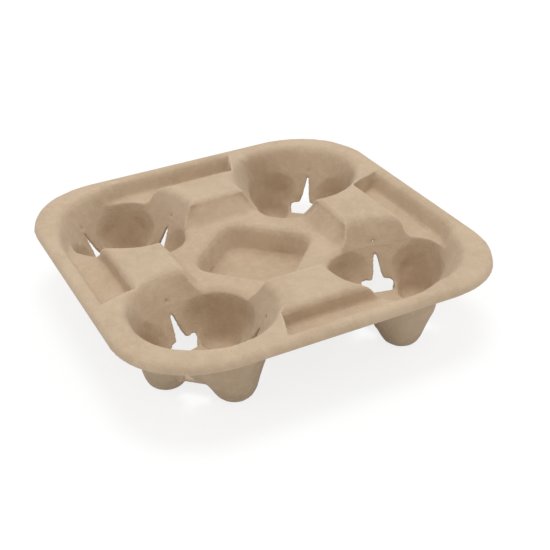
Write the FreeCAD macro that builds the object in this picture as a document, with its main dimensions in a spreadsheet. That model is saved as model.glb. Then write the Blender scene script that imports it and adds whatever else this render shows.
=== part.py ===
import FreeCAD, Part
import math
import os
import Sketcher

# Moulded fibre tray that carries four cups: one sheet of pulp drawn down into
# four tapered pockets round a square well, with a ridge on each side and a
# flat rim that ends in a down-turned lip. Units are millimetres.

doc = FreeCAD.newDocument("cup_carrier")

# Sizes
sheet = doc.addObject("Spreadsheet::Sheet", "Sizes")
SIZES = [
    ("tray_width", 214.0),
    ("tray_corner", 47.0),
    ("rim_height", 45.0),
    ("wall", 2.0),
    ("rim_band", 8.0),
    ("lip_drop", 5.2),
    ("lip_draft", 12.0),
    ("lip_round", 2.6),
    ("basin_floor", 34.5),
    ("basin_draft", 21.0),
    ("basin_corner", 61.0),
    ("pocket_offset", 55.0),
    ("pocket_mouth", 39.0),
    ("pocket_waist", 26.0),
    ("lobe_offset", 8.0),
    ("lobe_foot", 22.0),
    ("lobe_mouth", 30.4),
    ("foot_round", 6.5),
    ("slit_spread", 125.0),
    ("slit_top", 33.0),
    ("slit_tip_width", 1.3),
    ("slit_knee", 14.0),
    ("slit_knee_width", 5.6),
    ("toe_height", 9.0),
    ("toe_top_width", 14.0),
    ("toe_width", 19.0),
    ("toe_start", 23.5),
    ("ridge_outer", 79.0),
    ("ridge_inner", 50.0),
    ("ridge_draft", 8.0),
    ("ledge_half", 40.5),
    ("divider_top", 32.0),
    ("shoulder_inner", 19.0),
    ("shoulder_outer", 31.0),
    ("well_floor", 15.0),
    ("well_half", 22.5),
    ("well_draft", 17.0),
    ("well_corner", 7.0),
    ("well_round", 6.0),
    ("groove_round", 3.0),
    ("top_round", 3.2),
    ("divider_round", 3.6),
    ("ledge_round", 4.0),
]
for row, (alias, value) in enumerate(SIZES, start=1):
    sheet.set("A%d" % row, alias)
    sheet.set("B%d" % row, str(value))
    sheet.setAlias("B%d" % row, alias)
doc.recompute()

# Allowances of the tools: past a face, below the tray, between the two cores
OVERRUN = 1.0
BELOW = 10.0
CORE_GAP = 2.0

# A rounding is made in straight steps. At a foot they are chords of a quarter
# circle, at a brow two leans, the second over the last part of the height.
CHORD_LOW = 0.134
CHORD_MID = 0.5
CHORD_HIGH = 0.866
BROW_LAST = 0.35
BROW_FIRST = 0.65
LEAN_FIRST = "30deg"
LEAN_LAST = "60deg"
FOOT_FLAT = "75deg"
FOOT_STEEP = "45deg"


def size(alias):
    """Value of one named size of the sheet."""
    return float(sheet.get(alias))


def bind(obj, **bonds):
    """Bind properties of an object to the sheet, dots written as two underscores."""
    for name, text in bonds.items():
        obj.setExpression(name.replace("__", "."), text)
    return obj


def ref(text):
    """Expression text with every word in braces read from the sheet."""
    return text.replace("{", "Sizes.").replace("}", "")


def rounded_square(name, half, corner):
    """Sketch of a square with rounded corners, half width and corner bound."""
    sk = doc.addObject("Sketcher::SketchObject", name)
    vec = FreeCAD.Vector
    h, r = 10.0, 2.0
    turn = math.pi / 2
    line = [
        sk.addGeometry(Part.LineSegment(vec(r - h, -h, 0), vec(h - r, -h, 0)), False),
        sk.addGeometry(Part.LineSegment(vec(h, r - h, 0), vec(h, h - r, 0)), False),
        sk.addGeometry(Part.LineSegment(vec(h - r, h, 0), vec(r - h, h, 0)), False),
        sk.addGeometry(Part.LineSegment(vec(-h, h - r, 0), vec(-h, r - h, 0)), False),
    ]
    centres = [vec(h - r, r - h, 0), vec(h - r, h - r, 0), vec(r - h, h - r, 0), vec(r - h, r - h, 0)]
    arc = []
    for k, centre in enumerate(centres):
        circle = Part.Circle(centre, vec(0, 0, 1), r)
        arc.append(sk.addGeometry(Part.ArcOfCircle(circle, (k - 1) * turn, k * turn), False))
    for k in range(4):
        sk.addConstraint(Sketcher.Constraint("Tangent", line[k], 2, arc[k], 1))
        sk.addConstraint(Sketcher.Constraint("Tangent", arc[k], 2, line[(k + 1) % 4], 1))
    for k in (1, 2, 3):
        sk.addConstraint(Sketcher.Constraint("Equal", arc[0], arc[k]))
    for k in (0, 2):
        sk.addConstraint(Sketcher.Constraint("Horizontal", line[k]))
        sk.addConstraint(Sketcher.Constraint("Vertical", line[k + 1]))
    sk.addConstraint(Sketcher.Constraint("Symmetric", arc[1], 3, arc[3], 3, -1, 1))
    across = sk.addConstraint(Sketcher.Constraint("DistanceX", -1, 1, line[1], 1, h))
    along = sk.addConstraint(Sketcher.Constraint("DistanceY", -1, 1, line[2], 1, h))
    bend = sk.addConstraint(Sketcher.Constraint("Radius", arc[0], r))
    sk.setExpression("Constraints[%d]" % across, ref(half))
    sk.setExpression("Constraints[%d]" % along, ref(half))
    sk.setExpression("Constraints[%d]" % bend, ref(corner))
    return sk


def drawn(name, base, floor, top, draft="0deg"):
    """Rounded square drawn upwards from a floor to a top, opening by the draft."""
    base.setExpression("Placement.Base.z", ref(floor))
    body = doc.addObject("Part::Extrusion", name)
    body.Base = base
    body.DirMode = "Custom"
    body.Dir = FreeCAD.Vector(0, 0, 1)
    body.Solid = True
    bind(body, LengthFwd=ref("(%s) - (%s)" % (top, floor)), TaperAngle=ref(draft))
    return body


def tiers(name, half, corner, rows):
    """Stack of drafted squares, each begun on the outline where the last one ended."""
    stack = []
    for k, (floor, top, draft) in enumerate(rows):
        plan = rounded_square("%s_plan%d" % (name, k), half, corner)
        stack.append(drawn("%s_tier%d" % (name, k), plan, floor, top, draft))
        grown = "((%s) - (%s)) * tan(%s)" % (top, floor, draft)
        half = "%s + %s" % (half, grown)
        corner = "%s + %s" % (corner, grown)
    return fused(name, stack) if len(stack) > 1 else stack[0]


def foot_rows(floor, bend):
    """Two tiers that round the foot of a square void, and how far they set it in."""
    low = "(%s + %s * %s)" % (floor, CHORD_LOW, bend)
    high = "(%s + %s * %s)" % (floor, CHORD_MID, bend)
    return [(floor, low, FOOT_FLAT), (low, high, FOOT_STEEP)], high


def brow_rows(start, level, bend, draft):
    """Wall tier of a square void and the two tiers that round over its upper edge."""
    brow = "(%s - %s)" % (level, bend)
    edge = "(%s - %s * %s)" % (level, BROW_LAST, bend)
    top = "(%s + %s)" % (level, OVERRUN)
    return [(start, brow, draft), (brow, edge, LEAN_FIRST), (edge, top, LEAN_LAST)]


def square_void(name, half, corner, draft, floor, level, foot, brow, skin):
    """Square void with a rounded foot and, on the face, a rounded upper edge."""
    bend = "(%s + %s)" % (foot, skin)
    low = "(%s - %s)" % (floor, skin)
    spread = "(%s / cos(%s) - %s * tan(%s))" % (skin, draft, skin, draft)
    set_in = "%s + %s * %s * tan(%s) - %s * %s" % (
        spread, CHORD_MID, bend, draft, CHORD_HIGH, bend
    )
    rows, start = foot_rows(low, bend)
    if skin == "0":
        rows += brow_rows(start, level, brow, draft)
    else:
        rows.append((start, "(%s + %s)" % (level, OVERRUN), draft))
    return tiers(name, "%s + %s" % (half, set_in), "%s + %s" % (corner, set_in), rows)


def fused(name, shapes):
    """Union of solids."""
    body = doc.addObject("Part::MultiFuse", name)
    body.Shapes = shapes
    body.Refine = True
    return body


def less(name, base, tool):
    """One solid less another."""
    body = doc.addObject("Part::Cut", name)
    body.Base = base
    body.Tool = tool
    body.Refine = True
    return body


def mirrored(name, source, normal):
    """Mirror image of a solid in a plane through the centre line of the tray."""
    body = doc.addObject("Part::Mirroring", name)
    body.Source = source
    body.Base = FreeCAD.Vector(0, 0, 0)
    body.Normal = FreeCAD.Vector(*normal)
    return body


def on_all_corners(name, source):
    """A solid of one corner with its three mirror images."""
    pair = fused(name + "_pair", [source, mirrored(name + "_m1", source, (1, 0, 0))])
    return fused(name, [pair, mirrored(name + "_m2", pair, (0, 1, 0))])


def on_all_sides(name, source):
    """A solid of one side with its images in both diagonals."""
    diagonal = math.sqrt(0.5)
    pair = fused(name + "_pair", [source, mirrored(name + "_m1", source, (diagonal, -diagonal, 0))])
    return fused(name, [pair, mirrored(name + "_m2", pair, (diagonal, diagonal, 0))])


def closed_outline(name, points):
    """Sketch of a closed straight-sided outline whose corners are free to be bound."""
    outline = doc.addObject("Sketcher::SketchObject", name)
    count = len(points)
    pts = [FreeCAD.Vector(x, y, 0) for x, y in points]
    for k in range(count):
        outline.addGeometry(Part.LineSegment(pts[k], pts[(k + 1) % count]), False)
    for k in range(count):
        outline.addConstraint(Sketcher.Constraint("Coincident", k, 2, (k + 1) % count, 1))
    return outline


def place_corner(outline, corner, start, across, along):
    """Bind one corner of an outline to signed distances from its origin."""
    for kind, value, text in (("DistanceX", start[0], across), ("DistanceY", start[1], along)):
        number = outline.addConstraint(Sketcher.Constraint(kind, -1, 1, corner, 1, float(value)))
        outline.setExpression("Constraints[%d]" % number, ref(text))


def bound_outline(name, corners):
    """Closed outline with every corner bound; each corner is (start, across, along)."""
    outline = closed_outline(name, [corner[0] for corner in corners])
    for k, (start, across, along) in enumerate(corners):
        place_corner(outline, k, start, across, along)
    return outline


def prism(name, outline, direction, length):
    """Outline drawn along a direction."""
    body = doc.addObject("Part::Extrusion", name)
    body.Base = outline
    body.DirMode = "Custom"
    body.Dir = direction
    body.Solid = True
    bind(body, LengthFwd=ref(length))
    return body


def revolved(name, corners, reach, turn):
    """Outline turned about an upright axis set off from the pocket axis in one direction."""
    outline = bound_outline(name + "_section", corners)
    vec = FreeCAD.Vector
    outline.Placement = FreeCAD.Placement(vec(0, 0, 0), FreeCAD.Rotation(vec(1, 0, 0), 90))
    body = doc.addObject("Part::Revolution", name)
    body.Source = outline
    body.Axis = vec(0, 0, 1)
    body.Angle = 360.0
    body.Solid = True
    for axis, turned in (("x", "cos"), ("y", "sin")):
        place = ref("{pocket_offset} + (%s) * %s(%s)" % (reach, turned, turn))
        outline.setExpression("Placement.Base." + axis, place)
        body.setExpression("Base." + axis, place)
    return body


def brow_corners(radius, level, bend):
    """Section corners of the two steps that round over the mouth of a cone."""
    step = "(%s + %s * %s * tan(%s))" % (radius, BROW_FIRST, bend, LEAN_FIRST)
    over = "(%s * %s + %s) * tan(%s)" % (BROW_LAST, bend, OVERRUN, LEAN_LAST)
    return [
        ((39, 44), step, "%s - %s * %s" % (level, BROW_LAST, bend)),
        ((42, 46), "%s + %s" % (step, over), "%s + %s" % (level, OVERRUN)),
    ]


def cone_section(low_radius, high_radius, skin):
    """Half section of a pocket cone: rounded foot, drafted wall, rounded mouth on the face."""
    floor = "({wall} - %s)" % skin
    top = "({rim_height} + %s)" % OVERRUN
    full = "(%s - {wall})" % top
    bend = "({foot_round} + %s)" % skin

    def wall_at(level):
        return "(%s + %s + (%s - %s) * (%s - {wall}) / %s)" % (
            low_radius, skin, high_radius, low_radius, level, full
        )

    knee = "({wall} + {foot_round})"
    shin = wall_at(knee)
    corners = [
        ((0, 2), "0", floor),
        ((20, 2), "%s - %s" % (shin, bend), floor),
        (
            (23, 3),
            "%s - %s * %s" % (shin, CHORD_MID, bend),
            "%s + %s * %s" % (floor, CHORD_LOW, bend),
        ),
        (
            (25, 5),
            "%s - %s * %s" % (shin, CHORD_LOW, bend),
            "%s + %s * %s" % (floor, CHORD_MID, bend),
        ),
        ((26, 8), shin, knee),
    ]
    if skin == "0":
        brow = "({rim_height} - {top_round})"
        corners.append(((38, 42), wall_at(brow), brow))
        corners += brow_corners(wall_at(brow), "{rim_height}", "{top_round}")
    else:
        corners.append(((39, 46), wall_at(top), top))
    corners.append(((0, 46), "0", top))
    return corners


def pocket(prefix, skin):
    """Void of one pocket: a cone with three lobes that end in rounded feet."""
    cones = [
        revolved(
            prefix + "_cone", cone_section("{pocket_waist}", "{pocket_mouth}", skin), "0", "(0deg)"
        )
    ]
    turns = (
        "(225deg)",
        "(45deg + {slit_spread} * 0.5deg)",
        "(45deg - {slit_spread} * 0.5deg)",
    )
    for k, turn in enumerate(turns):
        section = cone_section("{lobe_foot}", "{lobe_mouth}", skin)
        cones.append(revolved("%s_lobe%d" % (prefix, k), section, "{lobe_offset}", turn))
    return fused(prefix + "_pocket", cones)


def crest_section(low_radius, high_radius):
    """Half section of the ring that rounds over the divider beside a pocket."""
    full = "({rim_height} + %s - {wall})" % OVERRUN
    brow = "({divider_top} - {divider_round})"
    wall_there = "(%s + (%s - %s) * (%s - {wall}) / %s)" % (
        low_radius, high_radius, low_radius, brow, full
    )
    corners = [((0, 28), "0", brow), ((34, 28), wall_there, brow)]
    corners += brow_corners(wall_there, "{divider_top}", "{divider_round}")
    corners.append(((0, 46), "0", "{divider_top} + %s" % OVERRUN))
    return corners


def crest(prefix):
    """Void that rounds over the low divider between a pocket and the well."""
    cones = [
        revolved(
            prefix + "_crest_cone", crest_section("{pocket_waist}", "{pocket_mouth}"), "0", "(0deg)"
        ),
        revolved(
            prefix + "_crest_lobe",
            crest_section("{lobe_foot}", "{lobe_mouth}"),
            "{lobe_offset}",
            "(225deg)",
        ),
    ]
    bound = doc.addObject("Part::Box", prefix + "_crest_bound")
    bind(
        bound,
        Length=ref("{ledge_half}"),
        Width=ref("{ledge_half}"),
        Height=ref("{rim_height}"),
    )
    common = doc.addObject("Part::Common", prefix + "_crest")
    common.Base = fused(prefix + "_crest_cones", cones)
    common.Tool = bound
    return on_all_corners(prefix + "_crests", common)


def ridge(prefix, skin):
    """Ridge between two pockets that stands in the basin, its outer wall sloped."""
    top = "({rim_height} + %s)" % OVERRUN
    low = "({basin_floor} - {wall} - %s)" % OVERRUN
    floor = "({basin_floor} - %s)" % skin
    bend = "({groove_round} + %s)" % skin
    crown = "({ridge_outer} - %s)" % skin
    inner = "({ledge_half} / 2)"

    def wall_at(level):
        return "(%s + ({rim_height} - %s) * tan({ridge_draft} * 1deg))" % (crown, level)

    knee = "(%s + %s * %s)" % (floor, CHORD_MID, bend)
    flare = "(%s + (%s - %s) * %s)" % (wall_at(knee), CHORD_HIGH, CHORD_MID, bend)
    foot = "(%s + %s * %s)" % (wall_at(knee), CHORD_HIGH, bend)
    corners = [
        ((-30, 30), "-" + inner, low),
        ((-90, 30), "-" + foot, low),
        ((-90, 34), "-" + foot, floor),
        ((-88, 35), "-" + flare, "%s + %s * %s" % (floor, CHORD_LOW, bend)),
        ((-86, 36), "-" + wall_at(knee), knee),
    ]
    if skin == "0":
        brow = "({rim_height} - {top_round})"
        edge = "({rim_height} - %s * {top_round})" % BROW_LAST
        step = "(%s - %s * {top_round} * tan(%s))" % (wall_at(brow), BROW_FIRST, LEAN_FIRST)
        over = "(%s * {top_round} + %s) * tan(%s)" % (BROW_LAST, OVERRUN, LEAN_LAST)
        corners += [
            ((-82, 42), "-" + wall_at(brow), brow),
            ((-80, 44), "-" + step, edge),
            ((-78, 46), "-(%s - %s)" % (step, over), top),
        ]
    else:
        corners.append(((-80, 46), "-" + wall_at(top), top))
    corners.append(((-30, 46), "-" + inner, top))
    outline = bound_outline(prefix + "_ridge_side", corners)
    vec = FreeCAD.Vector
    outline.Placement = FreeCAD.Placement(vec(0, 0, 0), FreeCAD.Rotation(vec(1, 1, 1), 120))
    outline.setExpression("Placement.Base.x", ref("-{pocket_offset}"))
    return prism(prefix + "_ridge", outline, vec(1, 0, 0), "2 * {pocket_offset}")


def shoulder(prefix, skin):
    """Flat at a corner of the rim that closes the end of the two grooves beside it."""
    top = "({rim_height} + %s)" % OVERRUN
    low = "({basin_floor} - {wall} - %s)" % OVERRUN
    near = "({shoulder_inner} + %s)" % skin
    far = "({shoulder_outer} + %s)" % skin
    back_line = "({ridge_outer} - {rim_band})"
    rim_line = "({tray_width} / 2)"
    outline = bound_outline(
        prefix + "_shoulder_plan",
        [
            ((-50, -50), "-{pocket_offset}", "-{pocket_offset}"),
            ((-19, -71), "-" + near, "-" + back_line),
            ((-33, -107), "-" + far, "-" + rim_line),
            ((-107, -107), "-" + rim_line, "-" + rim_line),
            ((-107, -33), "-" + rim_line, "-" + far),
            ((-71, -19), "-" + back_line, "-" + near),
        ],
    )
    outline.setExpression("Placement.Base.z", ref(low))
    vec = FreeCAD.Vector
    body = prism(prefix + "_shoulder", outline, vec(0, 0, 1), "%s - %s" % (top, low))
    bind(body, TaperAngle=ref("-{ridge_draft} * 1deg"))
    return body


def lip_block(prefix, skin):
    """Rim with its down-turned lip, on a narrower core that fills the space below."""
    low = "({rim_height} - {lip_drop} - %s)" % ("0" if skin == "0" else OVERRUN)
    level = "({rim_height} - %s)" % skin
    lean = "(-{lip_draft} * 1deg)"
    if skin == "0":
        brow = "(%s - {lip_round})" % level
        edge = "(%s - %s * {lip_round})" % (level, BROW_LAST)
        rows = [(low, brow, lean), (brow, edge, "-" + LEAN_FIRST), (edge, level, "-" + LEAN_LAST)]
    else:
        rows = [(low, level, lean)]
    half = "{tray_width} / 2 - %s" % skin
    lip = tiers(prefix + "_lip", half, "{tray_corner} - %s" % skin, rows)
    inset = "({wall} + %s)" % (CORE_GAP if skin == "0" else CORE_GAP / 2)
    plan = rounded_square(
        prefix + "_core_plan", "{tray_width} / 2 - %s" % inset, "{tray_corner} - %s" % inset
    )
    core = drawn(
        prefix + "_core", plan, "(-%s)" % BELOW, "({rim_height} - {lip_drop} + %s)" % OVERRUN
    )
    return fused(prefix + "_block", [lip, core])


def grooves(prefix, skin):
    """Groove along each side between the rim, the ridges and the two shoulders."""
    lean = "({basin_draft} * 1deg)"
    half = "{tray_width} / 2 - {rim_band} - ({rim_height} - {basin_floor}) * tan(%s)" % lean
    basin = square_void(
        prefix + "_basin",
        half,
        "{basin_corner}",
        lean,
        "{basin_floor}",
        "{rim_height}",
        "{groove_round}",
        "{top_round}",
        skin,
    )
    ridges = on_all_sides(prefix + "_ridges", ridge(prefix, skin))
    corner = shoulder(prefix, skin)
    far_corner = mirrored(prefix + "_shoulder_m", corner, (math.sqrt(0.5), math.sqrt(0.5), 0))
    standing = fused(prefix + "_standing", [ridges, corner, far_corner])
    return less(prefix + "_grooves", basin, standing)


def form(prefix, skin):
    """Solid under the face of the sheet (skin 0) or under its back (skin = wall)."""
    slope = "(atan(({ridge_inner} - {ledge_half}) / ({rim_height} - {divider_top})))"
    ledge = square_void(
        prefix + "_ledge",
        "{ledge_half}",
        "{well_corner}",
        slope,
        "{divider_top}",
        "{rim_height}",
        "{ledge_round}",
        "{top_round}",
        skin,
    )
    well = square_void(
        prefix + "_well",
        "{well_half}",
        "{well_corner}",
        "({well_draft} * 1deg)",
        "{well_floor}",
        "{divider_top}",
        "{well_round}",
        "{divider_round}",
        skin,
    )
    vec = FreeCAD.Vector
    well.Placement = FreeCAD.Placement(vec(0, 0, 0), FreeCAD.Rotation(vec(0, 0, 1), 45))
    pockets = on_all_corners(prefix + "_pockets", pocket(prefix, skin))
    hollows = [grooves(prefix, skin), pockets, ledge, well]
    if skin == "0":
        hollows.append(crest(prefix))
    return less(prefix + "_form", lip_block(prefix, skin), fused(prefix + "_voids", hollows))


def slit(turn, number):
    """Cutter of one slit: a thin wedge up the wall over a wide gap at the foot."""
    steps = (
        (9.0, -5.0, "({toe_width} / 2)", "(-{foot_round})"),
        (7.0, 9.0, "({toe_top_width} / 2)", "({toe_height})"),
        (3.0, 14.0, "({slit_knee_width} / 2)", "({slit_knee})"),
        (1.0, 33.0, "({slit_tip_width} / 2)", "({slit_top})"),
    )
    right = [((x, z), half, level) for x, z, half, level in steps]
    left = [((-x, z), "-" + half, level) for x, z, half, level in reversed(steps)]
    outline = bound_outline("slit%d_outline" % number, right + left)
    vec = FreeCAD.Vector
    outline.Placement = FreeCAD.Placement(
        vec(0, 0, 0), FreeCAD.Rotation(vec(0, 0, 1), turn) * FreeCAD.Rotation(vec(1, 1, 1), 120)
    )
    direction = vec(math.cos(math.radians(turn)), math.sin(math.radians(turn)), 0)
    for axis, part in (("x", direction.x), ("y", direction.y)):
        text = "{pocket_offset} + {toe_start} * %.6f" % part
        outline.setExpression("Placement.Base." + axis, ref(text))
    return prism("slit%d" % number, outline, direction, "{pocket_mouth} + {wall} - {toe_start}")


face = form("face", "0")
back = form("back", "{wall}")
spread = size("slit_spread")
cuts = fused("cuts", [slit(45.0, 0), slit(45.0 + spread, 1), slit(45.0 - spread, 2)])
all_cuts = on_all_corners("all_cuts", cuts)
sheet_form = less("sheet_form", face, back)
tray = less("cup_carrier", sheet_form, all_cuts)
doc.recompute()

for obj in doc.Objects:
    if "Invalid" in obj.State or "Error" in obj.State:
        raise RuntimeError("%s does not build" % obj.Name)
if tray.Shape.isNull() or not tray.Shape.isValid():
    raise RuntimeError("the tray is not a valid solid")
os.makedirs("parts", exist_ok=True)
tray.Label = "cup_carrier"
tray.Shape.exportStep("parts/cup_carrier.step")
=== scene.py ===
"""Dresses the moulded-fibre cup carrier: one soft-edged sheet of pulp with footed pockets."""

import logging
import math
from dataclasses import dataclass, field
from enum import Enum

import bpy
from mathutils import Matrix, Vector


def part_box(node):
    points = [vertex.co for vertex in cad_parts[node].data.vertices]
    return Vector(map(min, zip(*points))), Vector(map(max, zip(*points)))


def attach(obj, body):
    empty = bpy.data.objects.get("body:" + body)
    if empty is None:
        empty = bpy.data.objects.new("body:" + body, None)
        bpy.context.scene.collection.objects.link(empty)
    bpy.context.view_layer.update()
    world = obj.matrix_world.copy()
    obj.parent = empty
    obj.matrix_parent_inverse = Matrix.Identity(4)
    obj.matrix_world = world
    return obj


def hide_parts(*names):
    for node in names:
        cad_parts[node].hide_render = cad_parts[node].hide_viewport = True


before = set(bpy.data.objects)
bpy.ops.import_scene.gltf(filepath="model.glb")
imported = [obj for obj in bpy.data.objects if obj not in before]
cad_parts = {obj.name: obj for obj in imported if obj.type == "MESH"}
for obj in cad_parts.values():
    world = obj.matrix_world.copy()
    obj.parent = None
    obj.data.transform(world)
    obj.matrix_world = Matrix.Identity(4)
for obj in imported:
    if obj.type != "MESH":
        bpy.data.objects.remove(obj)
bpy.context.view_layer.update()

LOG = logging.getLogger("cup_carrier")
MM = 0.001
PHOTO_PIXELS = 550.0
SENSOR_MM = 36.0
CUP_SIDES = 72
CREASE_WIDTHS = 2.0
CREASE_END = 0.15

Colour = tuple[float, float, float]
Triple = tuple[float, float, float]


class Push(Enum):
    """Direction in which a relief moves the sheet."""

    OUT = "NORMAL"
    ACROSS = "X"
    ALONG = "Y"
    UP = "Z"


@dataclass(frozen=True)
class Relief:
    """One cloud relief pressed into the sheet; grain and height are in metres."""

    name: str
    push: Push
    grain: float
    height: float
    depth: int = 1


class Joint(Enum):
    """How one solid is worked into another."""

    CUT = "DIFFERENCE"
    FUSE = "UNION"


@dataclass(frozen=True)
class Crease:
    """A short crease where the wet sheet folded; its ends lie on the face of the tray."""

    start: Triple
    end: Triple
    depth: float
    reach: float

    def sink_at(self, spot: Vector) -> float:
        """Depth of the crease at a point.

        Args:
            spot: The point.

        Returns:
            How far the point sinks; the crease is shallower towards its ends.
        """
        start, end = Vector(self.start), Vector(self.end)
        run = end - start
        along = within((spot - start).dot(run) / run.length_squared)
        away = (spot - start - run * along).length / self.reach
        if away > CREASE_WIDTHS:
            return 0.0
        taper = math.sin(math.pi * (CREASE_END + (1.0 - 2.0 * CREASE_END) * along))
        return self.depth * math.exp(-2.0 * away * away) * taper


def rest() -> None:
    """Leave edit mode and deselect everything."""
    if bpy.context.object is not None and bpy.context.object.mode != "OBJECT":
        bpy.ops.object.mode_set(mode="OBJECT")
    bpy.ops.object.select_all(action="DESELECT")


def hold(obj: bpy.types.Object) -> None:
    """Select one object alone and make it active."""
    rest()
    obj.select_set(True)
    bpy.context.view_layer.objects.active = obj


def bake_in(obj: bpy.types.Object, modifier: bpy.types.Modifier) -> None:
    """Hold an object and apply one of its modifiers."""
    hold(obj)
    bpy.ops.object.modifier_apply(modifier=modifier.name)


def work_in(body: bpy.types.Object, tool: bpy.types.Object, joint: Joint) -> None:
    """Cut one solid out of another or fuse the two, and use the tool up.

    Args:
        body: Solid that stays.
        tool: Solid that is used up.
        joint: Whether the tool is cut out or fused.
    """
    boolean = body.modifiers.new(joint.name, "BOOLEAN")
    boolean.operation = joint.value
    boolean.solver = "EXACT"
    boolean.object = tool
    bake_in(body, boolean)
    bpy.data.objects.remove(tool, do_unlink=True)


def in_rows(block: bpy.types.Object, rows: int) -> None:
    """Divide the upright edges of a block or drum that is centred on the origin.

    Args:
        block: The primitive.
        rows: Number of levels that it has afterwards, its foot and top among them.
    """
    hold(block)
    bpy.ops.object.mode_set(mode="EDIT")
    bpy.ops.mesh.select_all(action="DESELECT")
    bpy.ops.mesh.select_mode(type="EDGE")
    bpy.ops.object.mode_set(mode="OBJECT")
    for edge in block.data.edges:
        first, second = (block.data.vertices[index].co.z for index in edge.vertices)
        edge.select = first * second < 0.0
    if rows > 2:
        bpy.ops.object.mode_set(mode="EDIT")
        bpy.ops.mesh.subdivide(number_cuts=rows - 2)
        bpy.ops.object.mode_set(mode="OBJECT")


def row_of(vertex: bpy.types.MeshVertex, rows: int) -> int:
    """Number of the level, from the foot up, on which a vertex of a divided block lies."""
    return round((vertex.co.z + 0.5) * (rows - 1))


def within(value: float) -> float:
    """Keep a share between 0 and 1."""
    return max(0.0, min(1.0, value))


def small_turn(angle: float) -> float:
    """Bring an angle between minus and plus half a turn."""
    return math.atan2(math.sin(angle), math.cos(angle))


def heading(bearing: float) -> Vector:
    """Level direction of a bearing."""
    return Vector((math.cos(bearing), math.sin(bearing), 0.0))


@dataclass(frozen=True)
class Ring:
    """One level of a drawn cup: its height, how far its centre leans out, and its radius."""

    level: float
    lean: float
    radius: float


def drawn_cup(centre: Vector, bearing: float, rings: tuple[Ring, ...]) -> bpy.types.Object:
    """Draw a drum out into a cup that may lean.

    Args:
        centre: Axis from which the cup leans.
        bearing: Direction of the lean.
        rings: The cup's levels, from its foot up.

    Returns:
        The cup, with its place in its mesh.
    """
    rest()
    bpy.ops.mesh.primitive_cylinder_add(vertices=CUP_SIDES, radius=1.0, depth=1.0)
    cup = bpy.context.object
    in_rows(cup, len(rings))
    away = heading(bearing)
    for vertex in cup.data.vertices:
        ring = rings[row_of(vertex, len(rings))]
        flat = Vector((vertex.co.x, vertex.co.y, 0.0)) * ring.radius
        vertex.co = centre + away * ring.lean + flat + Vector((0.0, 0.0, ring.level))
    return cup


class Nodes:
    """Short way to add and join the shader nodes of one material."""

    def __init__(self, tree: bpy.types.NodeTree) -> None:
        """Keep the node tree and empty it."""
        self.tree = tree
        tree.nodes.clear()

    def add(self, kind: str, **values: object) -> bpy.types.Node:
        """Add a node.

        Args:
            kind: Name of the node's type, without ShaderNode.
            values: Settings of the node, or socket values when the name is a socket's,
                with its spaces as underscores.

        Returns:
            The new node.
        """
        node = self.tree.nodes.new("ShaderNode" + kind)
        for name, value in values.items():
            label = name.replace("_", " ")
            if label in node.inputs:
                node.inputs[label].default_value = value
            else:
                setattr(node, name, value)
        return node

    def join(self, source: bpy.types.NodeSocket, target: bpy.types.NodeSocket) -> None:
        """Link two sockets."""
        self.tree.links.new(source, target)

    def math(self, kind: str, first: object, second: object = 0.0) -> bpy.types.NodeSocket:
        """Add a Math node on two numbers or sockets.

        Args:
            kind: The operation, such as MULTIPLY.
            first: Number or socket.
            second: Number or socket.

        Returns:
            The result's socket.
        """
        node = self.tree.nodes.new("ShaderNodeMath")
        node.operation = kind
        for slot, value in enumerate((first, second)):
            if isinstance(value, bpy.types.NodeSocket):
                self.join(value, node.inputs[slot])
            else:
                node.inputs[slot].default_value = value
        return node.outputs[0]

    def ramp(
        self, source: bpy.types.NodeSocket, low: float, high: float
    ) -> bpy.types.NodeSocket:
        """Stretch a value so that low becomes 0 and high becomes 1, with soft ends.

        Args:
            source: The value's socket.
            low: Value that becomes 0.
            high: Value that becomes 1.

        Returns:
            The result's socket.
        """
        node = self.tree.nodes.new("ShaderNodeMapRange")
        node.interpolation_type = "SMOOTHSTEP"
        node.inputs["From Min"].default_value = low
        node.inputs["From Max"].default_value = high
        self.join(source, node.inputs["Value"])
        return node.outputs["Result"]

    def blend(self, share: object, under: object, over: object) -> bpy.types.NodeSocket:
        """Mix two colours.

        Args:
            share: How much of the upper colour shows, a number or socket.
            under: Lower colour or socket.
            over: Upper colour or socket.

        Returns:
            The mixed colour's socket.
        """
        node = self.tree.nodes.new("ShaderNodeMix")
        node.data_type = "RGBA"
        for slot, value in ((0, share), (6, under), (7, over)):
            if isinstance(value, bpy.types.NodeSocket):
                self.join(value, node.inputs[slot])
            elif slot == 0:
                node.inputs[slot].default_value = value
            else:
                node.inputs[slot].default_value = (*value, 1.0)
        return node.outputs[2]


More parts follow.
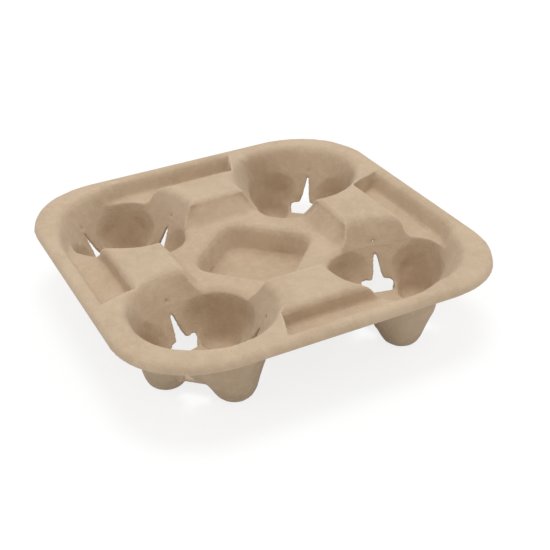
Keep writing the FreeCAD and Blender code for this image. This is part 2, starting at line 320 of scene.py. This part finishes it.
@dataclass(frozen=True)
class PulpFinish:
    """Uncoated kraft pulp: mottled, fibrous and matt, paler on convex edges, with painted shade
    darkening its hollows.

    Each range gives the values of a pattern between which it fades in, and each share how
    much of its colour shows.
    """

    body: Colour = (0.560, 0.425, 0.290)
    pale: Colour = (0.620, 0.485, 0.345)
    # Darker random tone of the pulp, and also the colour of the painted shade in the hollows.
    deep_tone_and_shade: Colour = (0.490, 0.360, 0.235)
    fleck: Colour = (0.300, 0.210, 0.130)
    # Paler colour of the fibre streaks and of the convex edges.
    fibre_and_edge_tone: Colour = (0.660, 0.530, 0.390)
    cloud_scale: float = 26.0
    mottle_scale: float = 190.0
    grain_scale: float = 1500.0
    fibre_scale: float = 1260.0
    fibre_stretch: float = 9.0
    fibre_turns: tuple[Triple, ...] = ((0.3, 0.5, 0.2), (1.2, 0.1, 1.3), (0.2, 1.3, 2.3))
    fleck_scale: float = 620.0
    cloud_range: tuple[float, float] = (0.30, 0.72)
    mottle_range: tuple[float, float] = (0.38, 0.72)
    grain_range: tuple[float, float] = (0.42, 0.75)
    fibre_range: tuple[float, float] = (0.60, 0.74)
    fleck_range: tuple[float, float] = (0.26, 0.10)
    fleck_choice: tuple[float, float] = (0.86, 0.90)
    edge_range: tuple[float, float] = (0.505, 0.56)
    # Pointiness values over which the painted shade in the hollows fades in.
    hollow_shade_range: tuple[float, float] = (0.497, 0.45)
    mottle_share: float = 0.45
    grain_share: float = 0.35
    fibre_share: float = 0.22
    fleck_share: float = 0.40
    edge_share: float = 0.55
    hollow_shade_share: float = 0.45
    grain_height: float = 0.00016
    fibre_height: float = 0.00010
    lump_height: float = 0.00035
    roughness: float = 0.93
    specular: float = 0.25
    sheen: float = 0.12
    sheen_roughness: float = 0.6

    def fibres(self, nodes: Nodes, where: bpy.types.NodeSocket) -> bpy.types.NodeSocket:
        """Lay streaks of fibre in three directions and keep the strongest.

        Args:
            nodes: The material's nodes.
            where: Object coordinates.

        Returns:
            Socket that is 1 on a fibre and 0 between fibres.
        """
        strongest: object = 0.0
        for turn in self.fibre_turns:
            mapping = nodes.add("Mapping", vector_type="TEXTURE")
            mapping.inputs["Rotation"].default_value = turn
            mapping.inputs["Scale"].default_value = (self.fibre_stretch, 1.0, 1.0)
            nodes.join(where, mapping.inputs["Vector"])
            streak = nodes.add(
                "TexNoise", Scale=self.fibre_scale, Detail=2.0, Distortion=0.6
            )
            nodes.join(mapping.outputs[0], streak.inputs["Vector"])
            crest = nodes.ramp(streak.outputs[0], *self.fibre_range)
            strongest = nodes.math("MAXIMUM", crest, strongest)
        return strongest

    def material(self, name: str) -> bpy.types.Material:
        """Make the material.

        Args:
            name: Name of the material.

        Returns:
            The material with its nodes.
        """
        made = bpy.data.materials.new(name)
        made.use_nodes = True
        nodes = Nodes(made.node_tree)
        where = nodes.add("TexCoord").outputs["Object"]

        cloud = nodes.add("TexNoise", Scale=self.cloud_scale, Detail=3.0, Roughness=0.6)
        mottle = nodes.add("TexNoise", Scale=self.mottle_scale, Detail=4.0, Roughness=0.65)
        grain = nodes.add("TexNoise", Scale=self.grain_scale, Detail=3.0, Roughness=0.7)
        fleck = nodes.add("TexVoronoi", Scale=self.fleck_scale, Randomness=1.0)
        for texture in (cloud, mottle, grain, fleck):
            nodes.join(where, texture.inputs["Vector"])
        fibres = self.fibres(nodes, where)

        tint = nodes.add("SeparateColor")
        nodes.join(fleck.outputs["Color"], tint.inputs[0])
        core = nodes.ramp(fleck.outputs["Distance"], *self.fleck_range)
        chosen = nodes.ramp(tint.outputs[0], *self.fleck_choice)
        shape = nodes.add("NewGeometry").outputs["Pointiness"]
        clouds = nodes.ramp(cloud.outputs[0], *self.cloud_range)
        colour = nodes.blend(clouds, self.deep_tone_and_shade, self.body)
        layers = (
            (nodes.ramp(mottle.outputs[0], *self.mottle_range), self.mottle_share, self.pale),
            (nodes.ramp(grain.outputs[0], *self.grain_range), self.grain_share, self.pale),
            (fibres, self.fibre_share, self.fibre_and_edge_tone),
            (nodes.math("MULTIPLY", core, chosen), self.fleck_share, self.fleck),
            # Paler on convex edges (high pointiness).
            (nodes.ramp(shape, *self.edge_range), self.edge_share, self.fibre_and_edge_tone),
            # Painted shade: where the surface is hollow (low pointiness) its colour is darkened
            # towards the deep tone.
            (nodes.ramp(shape, *self.hollow_shade_range), self.hollow_shade_share, self.deep_tone_and_shade),
        )
        for pattern, share, tone in layers:
            colour = nodes.blend(nodes.math("MULTIPLY", pattern, share), colour, tone)

        height = nodes.math("MULTIPLY", grain.outputs[0], self.grain_height)
        height = nodes.math("ADD", height, nodes.math("MULTIPLY", fibres, self.fibre_height))
        lumps = nodes.math("MULTIPLY", mottle.outputs[0], self.lump_height)
        height = nodes.math("ADD", height, lumps)
        bump = nodes.add("Bump", Distance=1.0, Strength=1.0)
        nodes.join(height, bump.inputs["Height"])

        shader = nodes.add("BsdfPrincipled", Roughness=self.roughness)
        shader.inputs["Specular IOR Level"].default_value = self.specular
        shader.inputs["Sheen Weight"].default_value = self.sheen
        shader.inputs["Sheen Roughness"].default_value = self.sheen_roughness
        nodes.join(colour, shader.inputs["Base Color"])
        nodes.join(bump.outputs[0], shader.inputs["Normal"])
        out = nodes.add("OutputMaterial")
        nodes.join(shader.outputs[0], out.inputs["Surface"])
        return made


@dataclass
class Pocket:
    """Lower part of one cup pocket: a slit cone with three feet round a raised floor.

    The foot's rows give its level, lean and radius in mm, and how much of the wall lies
    under them. The slit's rows give its half width and level in mm.
    """

    quarter: float
    reach: float = 55 * MM
    seam: float = 29.8 * MM
    lap: float = 0.6 * MM
    wall: float = 2.0 * MM
    knee: float = 12.0 * MM
    knee_radius: float = 20.5 * MM
    seam_radius: float = 34.2 * MM
    mouth: float = 39.0 * MM
    mouth_level: float = 46.0 * MM
    floor_top: float = 8.0 * MM
    floor_radius: float = 18.0 * MM
    waist: float = 26.0 * MM
    lobe_lean: float = 8.0 * MM
    lobe_waist: float = 22.0 * MM
    lobe_seam: float = 27.3 * MM
    clear: float = 0.25 * MM
    below: float = 1.0 * MM
    above: float = 3.0 * MM
    floor_bend: float = 1.2 * MM
    foot: tuple[tuple[float, float, float, float], ...] = (
        (2.0, 21.6, 4.6, 1.0),
        (2.5, 21.6, 6.2, 1.0),
        (4.0, 21.5, 7.9, 0.9),
        (6.5, 21.3, 9.4, 0.7),
        (9.5, 20.6, 10.9, 0.5),
        (16.0, 16.6, 16.1, 0.0),
        (29.8, 8.0, 27.3, 0.0),
    )
    slit_start: float = 15.4 * MM
    slit_spread: float = 125.0
    true_spread: float = 120.0
    slit_half: tuple[tuple[float, float], ...] = (
        (6.0, -5.0),
        (6.0, 5.0),
        (9.0, 8.6),
        (9.0, 11.8),
        (3.4, 12.6),
        (2.3, 16.0),
        (1.5, 21.0),
        (0.65, 25.5),
        (0.5, 33.5),
    )
    between_feet: float = math.pi / 3.0
    axis_gap: float = 1.0 * MM
    skin_reach: float = 2.6 * MM
    fade_width: float = 4.5 * MM
    twist_end: float = 44.0 * MM
    twist_fade: float = 8.0 * MM
    iron_reach: float = 5.0 * MM
    iron_gain: float = 1.6

    @property
    def centre(self) -> Vector:
        """Axis of the pocket."""
        return heading(self.quarter) * self.reach * math.sqrt(2.0)

    @property
    def bearings(self) -> tuple[float, ...]:
        """Directions of the three feet."""
        turns = (180.0, self.true_spread / 2.0, -self.true_spread / 2.0)
        return tuple(self.quarter + math.radians(turn) for turn in turns)

    @property
    def slit_turns(self) -> tuple[float, ...]:
        """Degrees from the tray's corner to each slit, before the walls are drawn in."""
        return (0.0, self.slit_spread, -self.slit_spread)

    @property
    def lower_slope(self) -> float:
        """Widening of the wall per rise, below the seam."""
        return (self.seam_radius - self.knee_radius) / (self.seam - self.knee)

    @property
    def upper_slope(self) -> float:
        """Widening of the wall per rise, above the seam."""
        return (self.mouth - self.seam_radius) / (self.mouth_level - self.seam)

    @property
    def true_slope(self) -> float:
        """Widening of the straight wall per rise, from the knee to the mouth."""
        return (self.mouth - self.knee_radius) / (self.mouth_level - self.knee)

    def old_wall(self) -> bpy.types.Object:
        """Shape the space that the plain pocket's lower wall takes up.

        Returns:
            The space as one solid.
        """
        low, high = -self.below, self.seam
        clear = self.wall + self.clear
        space = drawn_cup(
            self.centre,
            0.0,
            (Ring(low, 0.0, self.waist + clear), Ring(high, 0.0, self.seam_radius + clear)),
        )
        for bearing in self.bearings:
            lobe = (
                Ring(low, self.lobe_lean, self.lobe_waist + clear),
                Ring(high, self.lobe_lean, self.lobe_seam + clear),
            )
            work_in(space, drawn_cup(self.centre, bearing, lobe), Joint.FUSE)
        return space

    def form(self, skin: float) -> bpy.types.Object:
        """Shape the pocket's hollow, or the form outside its wall.

        Args:
            skin: How far outside the hollow the form lies.

        Returns:
            The form as one solid.
        """
        top = self.lap if skin else self.above
        aside = skin * math.hypot(1.0, self.lower_slope)
        bowl = (
            Ring(self.floor_top - skin, 0.0, self.floor_radius),
            Ring(self.floor_top - skin + self.floor_bend, 0.0, self.floor_radius + aside),
            Ring(self.knee, 0.0, self.knee_radius + aside),
            Ring(self.seam + top, 0.0, self.seam_radius + top * self.lower_slope + aside),
        )
        form = drawn_cup(self.centre, 0.0, bowl)
        for bearing in self.bearings:
            rings = [
                Ring(level * MM - skin * sink, lean * MM, radius * MM + skin)
                for level, lean, radius, sink in self.foot
            ]
            last, before = rings[-1], rings[-2]
            share = top / (last.level - before.level)
            rings[-1] = Ring(
                last.level + top,
                last.lean + (last.lean - before.lean) * share,
                last.radius + (last.radius - before.radius) * share,
            )
            work_in(form, drawn_cup(self.centre, bearing, tuple(rings)), Joint.FUSE)
        return form

    def slit(self, turn: float) -> bpy.types.Object:
        """Shape one slit, which widens downwards into the gap between two feet.

        Args:
            turn: Degrees away from the tray's corner.

        Returns:
            The slit as one solid.
        """
        rest()
        bpy.ops.mesh.primitive_cube_add(size=1.0)
        blade = bpy.context.object
        in_rows(blade, len(self.slit_half))
        away = heading(self.quarter + math.radians(turn))
        across = Vector((-away.y, away.x, 0.0))
        for vertex in blade.data.vertices:
            half, level = self.slit_half[row_of(vertex, len(self.slit_half))]
            out = self.slit_start + (vertex.co.x + 0.5) * self.mouth
            side = half * MM if vertex.co.y > 0 else -half * MM
            spot = self.centre + away * out + across * side
            vertex.co = Vector((spot.x, spot.y, level * MM))
        return blade

    def build(self) -> bpy.types.Object:
        """Shape the wall of the lower pocket.

        Returns:
            The wall as one solid.
        """
        shell = self.form(self.wall)
        work_in(shell, self.form(0.0), Joint.CUT)
        for turn in self.slit_turns:
            work_in(shell, self.slit(turn), Joint.CUT)
        return shell

    def seam_weight(self, spot: Vector) -> float:
        """Share of the ironing that a point near the pocket's seam gets, from 0 to 1."""
        arm = spot - self.centre
        if math.hypot(arm.x, arm.y) > self.mouth:
            return 0.0
        away = abs(spot.z - self.seam) / self.iron_reach
        return within(self.iron_gain * (1.0 - away))

    def drawn_in(self, spot: Vector) -> Vector:
        """Move a point of the sheet with the pocket's wall, straight between its feet.

        Args:
            spot: The point.

        Returns:
            The moved point.
        """
        arm = spot - self.centre
        radius = math.hypot(arm.x, arm.y)
        rise = spot.z - self.seam
        slope = self.upper_slope if rise > 0.0 else self.lower_slope
        wall = self.seam_radius + rise * slope
        line = self.knee_radius + (spot.z - self.knee) * self.true_slope
        near = within(1.0 - (radius - wall - self.skin_reach) / self.fade_width)
        if radius < self.axis_gap or radius > self.reach or near == 0.0:
            return spot
        near *= near * (3.0 - 2.0 * near)
        bearing = small_turn(math.atan2(arm.y, arm.x) - self.quarter)
        share = 0.0
        twist = 0.0
        for turn in self.slit_turns:
            off = small_turn(bearing - math.radians(turn)) / self.between_feet
            weight = math.cos(off * math.pi / 2.0) if abs(off) < 1.0 else 0.0
            share += weight
            if turn:
                ease = math.radians(self.slit_spread - self.true_spread)
                twist -= math.copysign(ease, turn) * weight
        fade = within((self.twist_end - spot.z) / self.twist_fade)
        bearing += twist * near * fade + self.quarter
        inside = min(1.0, radius / max(line, self.axis_gap))
        radius -= max(0.0, wall - line) * min(1.0, share) * near * inside
        moved = self.centre + heading(bearing) * radius
        moved.z = spot.z
        return moved


@dataclass
class FibreTray:
    """The tray: one sheet of pulp with four pockets, a well, ridges and a lipped rim."""

    node: str = "cup_carrier"
    slot: str = "moulded_fibre"
    weld: float = 0.01 * MM
    voxel: float = 0.75 * MM
    face_limit: int = 190000
    soften_factor: float = 0.5
    soften_rounds: int = 2
    iron_rounds: int = 14
    reliefs: tuple[Relief, ...] = (
        Relief("warp_across", Push.ACROSS, 55 * MM, 1.4 * MM),
        Relief("warp_along", Push.ALONG, 50 * MM, 1.4 * MM),
        Relief("warp_up", Push.UP, 42 * MM, 1.8 * MM),
        Relief("lumps", Push.OUT, 9 * MM, 0.45 * MM, 2),
        Relief("felt", Push.OUT, 3.2 * MM, 0.22 * MM, 2),
    )
    creases: tuple[Crease, ...] = (
        Crease((-0.039, 0.079, 0.0445), (-0.024, 0.080, 0.0445), 1.8 * MM, 1.3 * MM),
        Crease((-0.058, -0.009, 0.0445), (-0.049, -0.008, 0.0440), 1.8 * MM, 1.3 * MM),
    )
    pockets: tuple[Pocket, ...] = tuple(
        Pocket(math.radians(quarter)) for quarter in (45.0, 135.0, 225.0, 315.0)
    )
    finish: PulpFinish = field(default_factory=PulpFinish)

    def copy_sheet(self) -> bpy.types.Object:
        """Copy the tray's solid as a new piece whose loose triangles are welded.

        Returns:
            The new object.
        """
        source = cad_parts[self.node]
        mesh = source.data.copy()
        mesh.materials.clear()
        sheet = bpy.data.objects.new("fibre_sheet", mesh)
        bpy.context.scene.collection.objects.link(sheet)
        hold(sheet)
        bpy.ops.object.mode_set(mode="EDIT")
        bpy.ops.mesh.select_all(action="SELECT")
        bpy.ops.mesh.remove_doubles(threshold=self.weld)
        bpy.ops.object.mode_set(mode="OBJECT")
        return sheet

    def hang_pockets(self, sheet: bpy.types.Object) -> None:
        """Take off the plain lower pockets and hang the footed ones in their place.

        Args:
            sheet: The tray's copy.
        """
        for pocket in self.pockets:
            work_in(sheet, pocket.old_wall(), Joint.CUT)
        shells = [pocket.build() for pocket in self.pockets]
        hold(sheet)
        for shell in shells:
            shell.select_set(True)
        bpy.ops.object.join()

    def draw_in(self, sheet: bpy.types.Object) -> None:
        """Iron the seams of the pockets, then straighten their walls between the feet.

        Args:
            sheet: The even, dense sheet.
        """
        near = {(p.centre.x > 0.0, p.centre.y > 0.0): p for p in self.pockets}
        seams = sheet.vertex_groups.new(name="seams")
        for vertex in sheet.data.vertices:
            pocket = near[(vertex.co.x > 0.0, vertex.co.y > 0.0)]
            weight = pocket.seam_weight(vertex.co)
            if weight > 0.0:
                seams.add([vertex.index], weight, "REPLACE")
        smooth = sheet.modifiers.new("iron", "SMOOTH")
        smooth.vertex_group = seams.name
        smooth.factor = self.soften_factor
        smooth.iterations = self.iron_rounds
        bake_in(sheet, smooth)
        for vertex in sheet.data.vertices:
            pocket = near[(vertex.co.x > 0.0, vertex.co.y > 0.0)]
            vertex.co = pocket.drawn_in(vertex.co)

    def felt(self, sheet: bpy.types.Object) -> None:
        """Turn the sharp solid into an even, dense mesh with softened edges.

        Args:
            sheet: The tray's copy with its footed pockets.
        """
        remesh = sheet.modifiers.new("even", "REMESH")
        remesh.mode = "VOXEL"
        remesh.voxel_size = self.voxel
        bake_in(sheet, remesh)
        smooth = sheet.modifiers.new("soften", "SMOOTH")
        smooth.factor = self.soften_factor
        smooth.iterations = self.soften_rounds
        bake_in(sheet, smooth)

    def thin_out(self, sheet: bpy.types.Object) -> None:
        """Merge the smallest faces until the sheet is light enough.

        Args:
            sheet: The even, dense sheet.
        """
        triangles = sum(len(face.vertices) - 2 for face in sheet.data.polygons)
        thin = sheet.modifiers.new("thin", "DECIMATE")
        thin.ratio = min(1.0, self.face_limit / triangles)
        bake_in(sheet, thin)

    def press(self, sheet: bpy.types.Object) -> None:
        """Press the reliefs into the sheet, the warps first.

        Args:
            sheet: The sheet.
        """
        for relief in self.reliefs:
            clouds = bpy.data.textures.new(relief.name, "CLOUDS")
            clouds.noise_scale = relief.grain
            clouds.noise_depth = relief.depth
            push = sheet.modifiers.new(relief.name, "DISPLACE")
            push.texture = clouds
            push.texture_coords = "LOCAL"
            push.direction = relief.push.value
            push.strength = relief.height
            push.mid_level = 0.5
            bake_in(sheet, push)

    def fold(self, sheet: bpy.types.Object) -> None:
        """Sink each crease into the face of the sheet.

        Args:
            sheet: The sheet.
        """
        for crease in self.creases:
            for vertex in sheet.data.vertices:
                vertex.co.z -= crease.sink_at(vertex.co)

    def fit(self, sheet: bpy.types.Object) -> None:
        """Bring the warped sheet back inside the box of the solid, its feet on the floor.

        Args:
            sheet: The sheet.
        """
        low, high = (Vector(corner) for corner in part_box(self.node))
        points = [vertex.co for vertex in sheet.data.vertices]
        own_low = Vector([min(point[axis] for point in points) for axis in range(3)])
        own_high = Vector([max(point[axis] for point in points) for axis in range(3)])
        for vertex in sheet.data.vertices:
            for axis in range(3):
                share = (vertex.co[axis] - own_low[axis]) / (own_high[axis] - own_low[axis])
                vertex.co[axis] = low[axis] + share * (high[axis] - low[axis])

    def build(self) -> bpy.types.Object:
        """Build and dress the piece.

        Returns:
            The finished tray.
        """
        sheet = self.copy_sheet()
        self.hang_pockets(sheet)
        self.felt(sheet)
        self.draw_in(sheet)
        self.thin_out(sheet)
        self.press(sheet)
        self.fold(sheet)
        self.fit(sheet)
        hold(sheet)
        bpy.ops.object.shade_smooth()
        sheet.data.materials.append(self.finish.material("kraft_pulp"))
        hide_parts(self.node)
        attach(sheet, "root")
        LOG.info("%s: %d faces", sheet.name, len(sheet.data.polygons))
        return sheet


@dataclass
class Studio:
    """Pale floor, white surround, soft light from all round and from above."""

    azimuth: float = -24.909
    elevation: float = 32.369
    roll: float = -2.645
    distance: float = 0.5910
    focal_pixels: float = 1018.5
    centre_offset: tuple[float, float] = (-18.577, 22.96)
    floor_size: float = 6.0
    floor_colour: Colour = (0.80, 0.80, 0.80)
    shadow_share: Colour = (0.20, 0.20, 0.20)
    floor_lift: float = 0.81
    sky_strength: float = 0.74
    sun_strength: float = 1.15
    sun_from: Triple = (0.10, 0.15, 1.20)
    sun_angle: float = 24.0

    def camera(self) -> bpy.types.Object:
        """Place the camera where the picture was taken from.

        Returns:
            The camera.
        """
        turn, lift = math.radians(self.azimuth), math.radians(self.elevation)
        back = Vector(
            (math.sin(turn) * math.cos(lift), -math.cos(turn) * math.cos(lift), math.sin(lift))
        )
        right = (-back).cross(Vector((0, 0, 1))).normalized()
        up = right.cross(-back)
        roll = math.radians(self.roll)
        right_rolled = right * math.cos(roll) + up * math.sin(roll)
        up_rolled = up * math.cos(roll) - right * math.sin(roll)
        data = bpy.data.cameras.new("camera")
        data.sensor_width = SENSOR_MM
        data.lens = self.focal_pixels / PHOTO_PIXELS * SENSOR_MM
        data.shift_x = -self.centre_offset[0] / PHOTO_PIXELS
        data.shift_y = self.centre_offset[1] / PHOTO_PIXELS
        camera = bpy.data.objects.new("camera", data)
        axes = Matrix((right_rolled, up_rolled, back)).transposed()
        camera.matrix_world = Matrix.Translation(back * self.distance) @ axes.to_4x4()
        bpy.context.scene.collection.objects.link(camera)
        bpy.context.scene.camera = camera
        return camera

    def floor(self) -> bpy.types.Object:
        """Lay the pale floor.

        Returns:
            The floor.
        """
        rest()
        bpy.ops.mesh.primitive_plane_add(size=self.floor_size)
        floor = bpy.context.object
        floor.name = "floor"
        pale = bpy.data.materials.new("pale_floor")
        pale.use_nodes = True
        nodes = Nodes(pale.node_tree)
        shade = nodes.add("BsdfDiffuse", Color=(*self.floor_colour, 1.0))
        faint = nodes.add("BsdfDiffuse", Color=(*self.shadow_share, 1.0))
        lift = nodes.add("Emission", Strength=self.floor_lift)
        both = nodes.add("AddShader")
        nodes.join(faint.outputs[0], both.inputs[0])
        nodes.join(lift.outputs[0], both.inputs[1])
        path = nodes.add("LightPath")
        seen = nodes.math("MAXIMUM", path.outputs["Is Camera Ray"], path.outputs["Is Glossy Ray"])
        seen = nodes.math("MAXIMUM", seen, path.outputs["Is Transmission Ray"])
        mix = nodes.add("MixShader")
        nodes.join(seen, mix.inputs[0])
        nodes.join(shade.outputs[0], mix.inputs[1])
        nodes.join(both.outputs[0], mix.inputs[2])
        out = nodes.add("OutputMaterial")
        nodes.join(mix.outputs[0], out.inputs["Surface"])
        floor.data.materials.append(pale)
        return floor

    def sky(self) -> None:
        """Light the scene from all round, and show white behind it."""
        world = bpy.data.worlds.new("surround")
        bpy.context.scene.world = world
        world.use_nodes = True
        nodes = Nodes(world.node_tree)
        light = nodes.add("Background", Strength=self.sky_strength)
        white = nodes.add("Background", Strength=1.0)
        for shade in (light, white):
            shade.inputs["Color"].default_value = (1.0, 1.0, 1.0, 1.0)
        path = nodes.add("LightPath")
        seen = nodes.math("MAXIMUM", path.outputs["Is Camera Ray"], path.outputs["Is Glossy Ray"])
        seen = nodes.math("MAXIMUM", seen, path.outputs["Is Transmission Ray"])
        mix = nodes.add("MixShader")
        nodes.join(seen, mix.inputs[0])
        nodes.join(light.outputs[0], mix.inputs[1])
        nodes.join(white.outputs[0], mix.inputs[2])
        out = nodes.add("OutputWorld")
        nodes.join(mix.outputs[0], out.inputs["Surface"])

    def sun(self) -> bpy.types.Object:
        """Hang the main soft light.

        Returns:
            The lamp.
        """
        data = bpy.data.lights.new("key", "SUN")
        data.energy = self.sun_strength
        data.angle = math.radians(self.sun_angle)
        lamp = bpy.data.objects.new("key", data)
        lamp.rotation_euler = Vector(self.sun_from).to_track_quat("Z", "Y").to_euler()
        bpy.context.scene.collection.objects.link(lamp)
        return lamp

    def build(self) -> None:
        """Set up the whole studio."""
        bpy.context.scene.view_settings.view_transform = "Standard"
        self.camera()
        self.floor()
        self.sky()
        self.sun()
        LOG.info("studio ready")


def main() -> None:
    """Build the studio and the tray, and report each piece."""
    logging.basicConfig(level=logging.INFO, format="%(name)s: %(message)s")
    Studio().build()
    tray = FibreTray().build()
    LOG.info("tray %s rides on root", tray.name)


if __name__ == "__main__":
    main()
